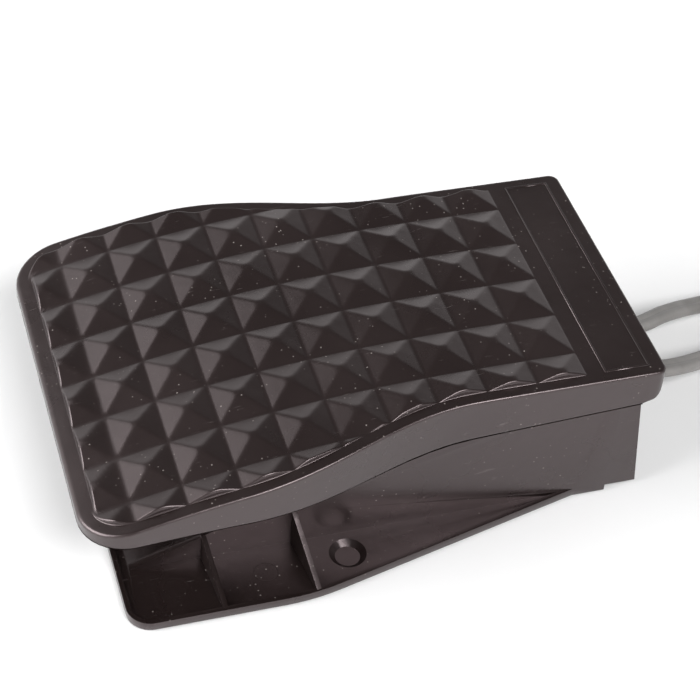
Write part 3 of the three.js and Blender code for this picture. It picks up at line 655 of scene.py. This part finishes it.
def top_loop(points, index, columns, last):
    """The inner grid's border, anticlockwise from the front.

    Each entry is a vertex and a function from an inset to the place of its point.
    """
    keys = [(0, j) for j in range(columns)] + [(i, columns) for i in range(last)]
    rear_keys = [(last, j) for j in range(columns - 1, 0, -1)]
    back_keys = [(i, 0) for i in range(last - 1, 0, -1)]

    def straight(key, before, after):
        x, y, _ = points[index[key]]
        a, b = points[index[before]], points[index[after]]
        out = Vector((b[1] - a[1], a[0] - b[0])).normalized()
        return index[key], lambda e: (x + out.x * (INNER - e), y + out.y * (INNER - e))

    def corner(key, side, angles):
        return [(index[key], lambda e, a=math.radians(d): heel_corner(side, a, e)) for d in angles]

    loop = []
    for k, key in enumerate(keys):
        before = keys[k - 1] if k else (1, 0)
        after = keys[k + 1] if k + 1 < len(keys) else (last, columns)
        loop.append(straight(key, before, after))
    angles = [90 * k / HEEL_CORNER_STEPS for k in range(HEEL_CORNER_STEPS + 1)]
    loop += corner((last, columns), 1, angles)
    for key in rear_keys:
        loop.append(straight(key, (key[0], key[1] + 1), (key[0], key[1] - 1)))
    loop += corner((last, 0), -1, angles[::-1])
    for key in back_keys:
        loop.append(straight(key, (key[0] + 1, 0), (key[0] - 1, 0)))
    return loop


# Insets of the rings between the inner grid and the rounded edge, closer at the tread's border
BORDER_RINGS = (4.5, 4.35, 4.2, 4.1, 4.04, 4.0, 3.9, 3.75, 3.6, 3.45, 3.3, 3.2, 3.14, 3.1, 3.0,
                2.6, 1.8, 1.1)
WALL_RINGS = (0.04, 0.5, 0.96)


def make_treadle():
    """The treadle's outer skin: plate and tread, rounded edge, skirt and its lower lip."""
    columns = GRID_COLUMNS
    rows = grid_rows()
    points = []
    index = {}
    for i, y in enumerate(rows):
        half = corner_half(y)
        for j in range(columns + 1):
            x = half * (2 * j / columns - 1)
            inside = field_inside(x, y, INNER + (half - abs(x)) * 0.95)
            index[i, j] = len(points)
            points.append((x, y, crest(y) + tread_height(x, y, inside)))
    faces = []
    last = len(rows) - 1
    for i in range(last):
        for j in range(columns):
            faces.append((index[i, j], index[i, j + 1], index[i + 1, j + 1], index[i + 1, j]))
    loop = top_loop(points, index, columns, last)
    ring = [vertex for vertex, _ in loop]

    def add_ring(ring, from_edge, height):
        """Joins a ring at an inset from the outline to the one before; height gives its Z."""
        made = []
        for _, spot in loop:
            x, y = spot(from_edge)
            made.append(len(points))
            points.append((x, y, height(x, y)))
        for k in range(len(ring)):
            after = (k + 1) % len(ring)
            face = [ring[k], made[k], made[after], ring[after]]
            if face[0] == face[3]:
                face.pop()
            faces.append(tuple(face))
        return made

    for e in BORDER_RINGS:
        ring = add_ring(ring, e, lambda x, y: crest(y) + tread_height(x, y, field_inside(x, y, e)))
    edge = TREADLE["edge"]
    for degrees in range(0, 91, 15):
        a = math.radians(degrees)
        drop = edge * (1 - math.cos(a))
        ring = add_ring(ring, edge * (1 - math.sin(a)), lambda x, y: crest(y) - drop)
    lip, half = LIP["height"], LIP["half"]
    for share in WALL_RINGS:
        ring = add_ring(ring, 0.0, lambda x, y: (
            (crest(y) - edge) * (1 - share) + (skirt_low(y) + lip) * share))
    for degrees in range(0, 181, 30):
        a = math.radians(degrees)
        drop = lip * math.sin(a)
        ring = add_ring(ring, half - half * math.cos(a), lambda x, y: skirt_low(y) + lip - drop)
    add_ring(ring, LIP["inside"], lambda x, y: skirt_low(y) + LIP["up"])
    return mesh_from("treadle_outer", points, faces)


def make_label_bead():
    """A fine raised line round the blank label area: a half round section along a rectangle."""
    half, width = LABEL["half"], LABEL["width"] / 2
    points, faces = [], []
    section = [math.radians(a) for a in (0, 36, 72, 108, 144, 180)]
    start, end = LABEL["start"], LABEL["end"]
    spots = [(half, end), (-half, end), (-half, start), (half, start)]
    middle = (start + end) / 2
    foot = CREST["z"] - LABEL["sunk"]
    for x, y in spots:
        for a in section:
            out = width * math.cos(a)
            across, along = math.copysign(1, x), math.copysign(1, y - middle)
            rise = LABEL["height"] * math.sin(a)
            points.append((x + out * across, y + out * along, foot + rise))
    count = len(section)
    for k in range(4):
        for c in range(count - 1):
            a, b = k * count + c, (k + 1) % 4 * count + c
            faces.append((a, b, b + 1, a + 1))
    return mesh_from("label_bead", points, faces)


def near_outer_skin(face):
    """Whether a face of the CAD treadle is on its outside, which the detailed skin takes over."""
    centre = face.calc_center_median() / MM
    normal = face.normal
    if centre.z > crest(centre.y) - SKIN["top"]:
        return True
    if centre.y < TREADLE["front"] + SKIN["front"] and normal.y < -0.5:
        return True
    heel = TREADLE["rear"] - TREADLE["heel"] - SKIN["rear"]
    if centre.y > heel and (normal.y > 0.15 or normal.z < -0.5):
        return True
    if abs(centre.x) > side_half(centre.y) - SKIN["side"] and normal.x * centre.x > 0:
        return True
    corner_x = side_half(centre.y) - TREADLE["corner"]
    corner_y = TREADLE["front"] + TREADLE["corner"]
    if abs(centre.x) > corner_x and centre.y < corner_y:
        out = math.hypot(abs(centre.x) - corner_x, centre.y - corner_y)
        return out > TREADLE["corner"] - SKIN["corner"] and normal.z > -0.8
    return False


def treadle_inside():
    """The CAD treadle's own underside, bosses and hinge barrels, without its outer skin."""
    source = frame["nodes"]["treadle_cover"].data.copy()
    bm = bmesh.new()
    bm.from_mesh(source)
    bmesh.ops.delete(bm, geom=[f for f in bm.faces if near_outer_skin(f)], context="FACES")
    bm.to_mesh(source)
    bm.free()
    source.materials.clear()
    return source


outer = new_object("treadle_shell", make_treadle(), SHELL)
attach(outer, "treadle")
inner = new_object("treadle_underside", treadle_inside(), SHELL, smooth=False)
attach(inner, "treadle")
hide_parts("treadle_cover")
bead = new_object("label_bead", make_label_bead(), SHELL)
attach(bead, "treadle")


# Base tray
rounded_copy("base_tray", "tray_shell", TRAY, TRAY_EDGE, "base")


# Return spring
def make_spring():
    """A compression spring of round wire with closed end coils.
    """
    wire, low, high, turns = (SPRING[key] for key in ("wire", "low", "high", "turns"))
    closed_turns = SPRING["closed"]
    points = []
    count = turns * SPRING_STEPS
    for i in range(count + 1):
        turn = i / SPRING_STEPS
        share = min(max((turn - closed_turns) / (turns - 2 * closed_turns), 0), 1)
        closed = min(turn, closed_turns) + max(turn - turns + closed_turns, 0)
        z = low + (high - low - 2.6 * wire) * share + closed * wire * 1.44
        angle = 2 * math.pi * turn
        out = Vector((math.cos(angle), math.sin(angle), 0))
        middle = Vector((0, SPRING["y"], z)) + out * SPRING["radius"]
        for k in range(SPRING_SIDES):
            a = 2 * math.pi * k / SPRING_SIDES
            points.append(middle + out * wire * math.cos(a) + Vector((0, 0, wire * math.sin(a))))
    mesh = mesh_from("return_spring_wire", points, tube_faces(count + 1, SPRING_SIDES))
    spring = new_object("return_spring_wire", mesh, STEEL)
    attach(spring, "base")
    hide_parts("return_spring")
    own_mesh(spring)


make_spring()


# Finishes of the other nodes
FINISH = {
    "shell_plastic": SHELL, "rubber": RUBBER, "steel": STEEL, "brass": BRASS, "nylon": NYLON,
    "cover_plastic": COVER, "laminate": LAMINATE, "aluminium": ALUMINIUM, "resin": RESIN,
    "film": FILM, "copper": COPPER, "cord_grey": CORD_PVC,
}


def finish_nodes():
    slots = {s["node"]: s["material_slot"] for s in frame["record"]["subparts"]}
    for node, piece in frame["nodes"].items():
        material = FINISH[slots[node]]
        if not piece.material_slots:
            piece.data.materials.append(material)
        for s in piece.material_slots:
            s.link = "OBJECT"
            s.material = material


finish_nodes()


# Stage
def make_floor():
    m = Nodes("floor_paper", Roughness=0.55)
    tone = m.ramp(m.noise(4, 2), *CLOUD)
    color = m.mix_color(tone, (0.84, 0.84, 0.842), (0.87, 0.87, 0.872))
    m.link(color, m.shader.inputs["Base Color"])
    h = FLOOR_HALF
    mesh = mesh_from("floor", [(-h, -h, 0), (h, -h, 0), (h, h, 0), (-h, h, 0)], [(0, 1, 2, 3)])
    floor = new_object("floor", mesh, m.material)


# Area lights: name, place, target (metres), size, watts
LIGHTS = [
    ("toe_softbox", (-0.75, -0.85, 0.8), (0, 0, 0.02), (0.9, 0.5), 1.9),
    ("front_softbox", (-0.1, -1.7, 0.9), (0, 0, 0.0), (1.8, 1.2), 52.0),
    ("camera_side_softbox", (0.95, 0.25, 1.05), (0, 0, 0.0), (0.8, 0.55), 20.0),
]
# The sky's brightness and the heights (sine of the elevation) between which it changes
HORIZON, OVERHEAD = 1.1, 0.14
FADE_START, FADE_END = 0.12, 0.55


def area_light(name, at, target, size, power):
    data = bpy.data.lights.new(name, "AREA")
    data.shape = "RECTANGLE"
    data.size, data.size_y = size
    data.energy = power
    light = bpy.data.objects.new(name, data)
    bpy.context.scene.collection.objects.link(light)
    aim = Vector(target) - Vector(at)
    turn = aim.to_track_quat("-Z", "Y").to_matrix().to_4x4()
    light.matrix_world = Matrix.Translation(Vector(at)) @ turn


def make_world():
    """A white sweep near the horizon that darkens overhead, as over a product table."""
    world = bpy.data.worlds.new("studio")
    bpy.context.scene.world = world
    world.use_nodes = True
    tree = world.node_tree
    place = tree.nodes.new("ShaderNodeTexCoord")
    split = tree.nodes.new("ShaderNodeSeparateXYZ")
    fade = tree.nodes.new("ShaderNodeMapRange")
    fade.interpolation_type = "SMOOTHSTEP"
    fade.inputs["From Min"].default_value = FADE_START
    fade.inputs["From Max"].default_value = FADE_END
    fade.inputs["To Min"].default_value = HORIZON
    fade.inputs["To Max"].default_value = OVERHEAD
    tree.links.new(place.outputs["Generated"], split.inputs["Vector"])
    tree.links.new(split.outputs["Z"], fade.inputs["Value"])
    tree.links.new(fade.outputs["Result"], tree.nodes["Background"].inputs["Strength"])
    tree.nodes["Background"].inputs["Color"].default_value = (1, 1, 1, 1)


make_floor()
make_world()
for light in LIGHTS:
    area_light(*light)
bpy.context.scene.view_settings.view_transform = "Standard"
